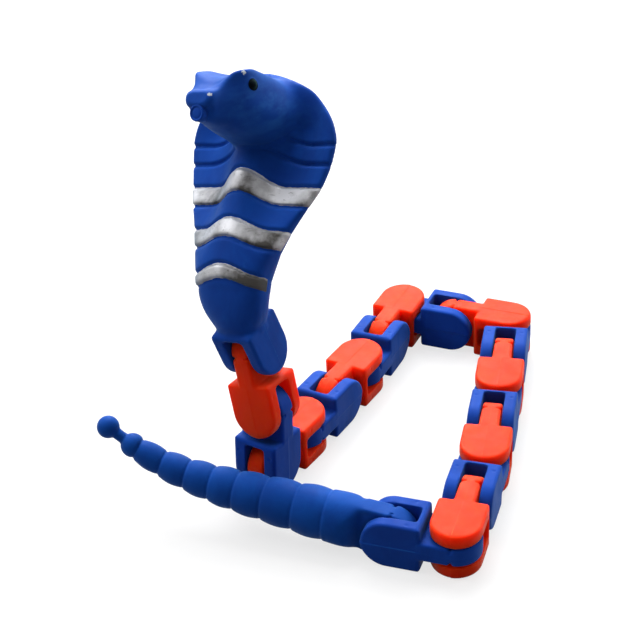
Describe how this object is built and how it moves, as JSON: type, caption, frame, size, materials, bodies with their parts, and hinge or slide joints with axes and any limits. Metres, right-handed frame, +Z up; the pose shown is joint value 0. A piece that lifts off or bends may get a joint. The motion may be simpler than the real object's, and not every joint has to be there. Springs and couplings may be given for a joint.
{
  "type": "jointed toy snake",
  "caption": "Jointed cobra toy: a spread hood on a chain of square links that click into bends, ending in a beaded tail.",
  "frame": {"origin": "middle of the posed toy's footprint, on the table under it", "axes": "+Z up from the table, -Y towards the side that the hood faces, +X to the right of the loop of links as seen from there"},
  "size_m": [0.1092, 0.1126, 0.0996],
  "materials": {
    "blue_plastic": "satin moulded",
    "orange_plastic": "satin moulded"
  },
  "bodies": {
    "head": {"head": "blue_plastic"},
    "link_01": {"link_01": "orange_plastic"},
    "link_02": {"link_02": "blue_plastic"},
    "link_03": {"link_03": "orange_plastic"},
    "link_04": {"link_04": "blue_plastic"},
    "link_05": {"link_05": "orange_plastic"},
    "link_06": {"link_06": "blue_plastic"},
    "link_07": {"link_07": "orange_plastic"},
    "link_08": {"link_08": "blue_plastic"},
    "link_09": {"link_09": "orange_plastic"},
    "link_10": {"link_10": "blue_plastic"},
    "link_11": {"link_11": "orange_plastic"},
    "link_12": {"link_12": "blue_plastic"},
    "link_13": {"link_13": "orange_plastic"},
    "link_14": {"link_14": "blue_plastic"},
    "link_15": {"link_15": "orange_plastic"},
    "link_16": {"link_16": "blue_plastic"},
    "tail": {"tail": "blue_plastic"}
  },
  "joints": [
    {"name": "hinge_09_10", "type": "hinge", "parent": "link_10", "child": "link_09", "pos_m": [0.04865, 0.03836, 0.006], "axis": [0, 0, -1], "range_deg": [-7, 174.2]},
    {"name": "hinge_08_09", "type": "hinge", "parent": "link_09", "child": "link_08", "pos_m": [0.03467, 0.04432, 0.006], "axis": [-0.3923, -0.9198, 0], "range_deg": [-96.5, 96.5]},
    {"name": "hinge_07_08", "type": "hinge", "parent": "link_08", "child": "link_07", "pos_m": [0.02069, 0.05029, 0.006], "axis": [0, 0, -1], "range_deg": [-8, 184.9]},
    {"name": "hinge_06_07", "type": "hinge", "parent": "link_07", "child": "link_06", "pos_m": [0.01434, 0.03648, 0.006], "axis": [-0.9085, 0.4179, 0], "range_deg": [-22, 96.5]},
    {"name": "hinge_05_06", "type": "hinge", "parent": "link_06", "child": "link_05", "pos_m": [0.00798, 0.02267, 0.006], "axis": [0, 0, 1], "range_deg": [-91.2, 48]},
    {"name": "hinge_04_05", "type": "hinge", "parent": "link_05", "child": "link_04", "pos_m": [0.00038, 0.0095, 0.006], "axis": [-0.866, 0.5, 0], "range_deg": [-30, 96.5]},
    {"name": "hinge_03_04", "type": "hinge", "parent": "link_04", "child": "link_03", "pos_m": [-0.00722, -0.00366, 0.006], "axis": [0, 0, -1], "range_deg": [-98.7, 94.3]},
    {"name": "hinge_02_03", "type": "hinge", "parent": "link_03", "child": "link_02", "pos_m": [-0.01532, -0.01652, 0.006], "axis": [-0.8462, 0.5329, 0], "range_deg": [-42, 2.5]},
    {"name": "hinge_01_02", "type": "hinge", "parent": "link_02", "child": "link_01", "pos_m": [-0.01477, -0.01565, 0.02116], "axis": [0.5316, 0.8442, -0.068], "range_deg": [-84.2, 90]},
    {"name": "hinge_head_01", "type": "hinge", "parent": "link_01", "child": "head", "pos_m": [-0.01697, -0.01307, 0.03598], "axis": [-0.8345, 0.5084, -0.2125], "range_deg": [-80.1, 76]},
    {"name": "hinge_10_11", "type": "hinge", "parent": "link_10", "child": "link_11", "pos_m": [0.0458, 0.02343, 0.006], "axis": [-0.9823, 0.1874, 0], "range_deg": [-96.5, 24]},
    {"name": "hinge_11_12", "type": "hinge", "parent": "link_11", "child": "link_12", "pos_m": [0.04295, 0.0085, 0.006], "axis": [0, 0, 1], "range_deg": [-6, 97.7]},
    {"name": "hinge_12_13", "type": "hinge", "parent": "link_12", "child": "link_13", "pos_m": [0.03979, -0.00637, 0.006], "axis": [0.9781, -0.2079, 0], "range_deg": [-30, 96.5]},
    {"name": "hinge_13_14", "type": "hinge", "parent": "link_13", "child": "link_14", "pos_m": [0.03663, -0.02124, 0.006], "axis": [0, 0, -1], "range_deg": [-101.6, 6]},
    {"name": "hinge_14_15", "type": "hinge", "parent": "link_14", "child": "link_15", "pos_m": [0.03216, -0.03576, 0.006], "axis": [0.9558, -0.294, 0], "range_deg": [-45, 96.5]},
    {"name": "hinge_15_16", "type": "hinge", "parent": "link_15", "child": "link_16", "pos_m": [0.02769, -0.05029, 0.006], "axis": [0, 0, -1], "range_deg": [-188.5, 4.5]},
    {"name": "hinge_16_tail", "type": "hinge", "parent": "link_16", "child": "tail", "pos_m": [0.01333, -0.04532, 0.006], "axis": [0.3272, 0.9449, 0], "range_deg": [-101.5, 91.5]}
  ]
}
